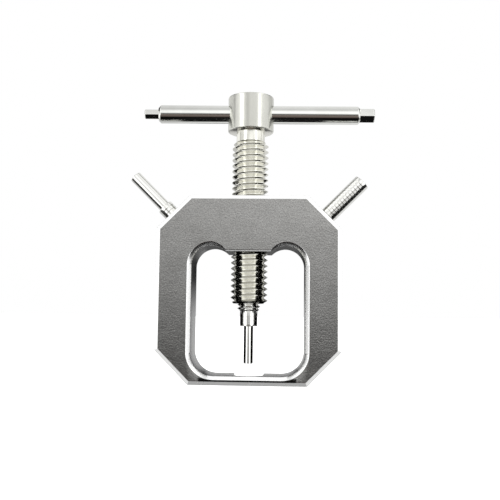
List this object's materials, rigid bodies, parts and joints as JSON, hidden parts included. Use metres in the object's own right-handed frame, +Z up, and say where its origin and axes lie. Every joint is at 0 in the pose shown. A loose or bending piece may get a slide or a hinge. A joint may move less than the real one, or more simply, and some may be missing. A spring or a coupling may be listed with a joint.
{
  "type": "pinion gear puller",
  "caption": "Hand screw press that pushes a small gear off its shaft: a slotted window frame, a jack screw with sliding tommy bar, and interchangeable push pins.",
  "frame": {"origin": "on the screw axis, at the middle of the frame's thickness, on the bottom face that the tool stands on", "axes": "+Z up along the screw axis towards its head, +X along the tommy bar towards its larger driver tip, +Y away from the closed end of the shaft slot, through the window"},
  "size_m": [0.0533, 0.011, 0.0624],
  "materials": {
    "satin_aluminium": "bead-blasted satin grey with bright machined bevels",
    "plated_screw": "nickel plated, cut thread, bright",
    "plated_bar": "nickel plated, polished",
    "plated_pin": "turned hardened steel, bright"
  },
  "bodies": {
    "frame": {"frame": "satin_aluminium"},
    "press_pin": {"press_pin": "plated_pin"},
    "jack_screw": {"jack_screw": "plated_screw"},
    "t_bar": {"t_bar": "plated_bar"},
    "spare_pin_medium": {"spare_pin_medium": "plated_pin"},
    "spare_pin_large": {"spare_pin_large": "plated_pin"}
  },
  "joints": [
    {"name": "screw_travel", "type": "slide", "parent": "frame", "child": "press_pin", "axis": [0, 0, -1], "range_m": [-0.01001, 0.00751]},
    {"name": "screw_turn", "type": "hinge", "parent": "press_pin", "child": "jack_screw", "pos_m": [0, 0, 0.04], "axis": [0, 0, -1], "range_deg": [-2880, 2160]},
    {"name": "bar_slide", "type": "slide", "parent": "jack_screw", "child": "t_bar", "axis": [0.9996, 0.0279, 0], "range_m": [-0.018, 0.014]},
    {"name": "medium_pin_unscrew", "type": "slide", "parent": "frame", "child": "spare_pin_medium", "axis": [-0.7071, 0, 0.7071], "range_m": [0, 0.0045]},
    {"name": "large_pin_unscrew", "type": "slide", "parent": "frame", "child": "spare_pin_large", "axis": [0.7071, 0, 0.7071], "range_m": [0, 0.0045]}
  ],
  "couplings": [
    {"joint": "screw_travel", "follows": "screw_turn", "m_per_rad": 0.00019894}
  ]
}
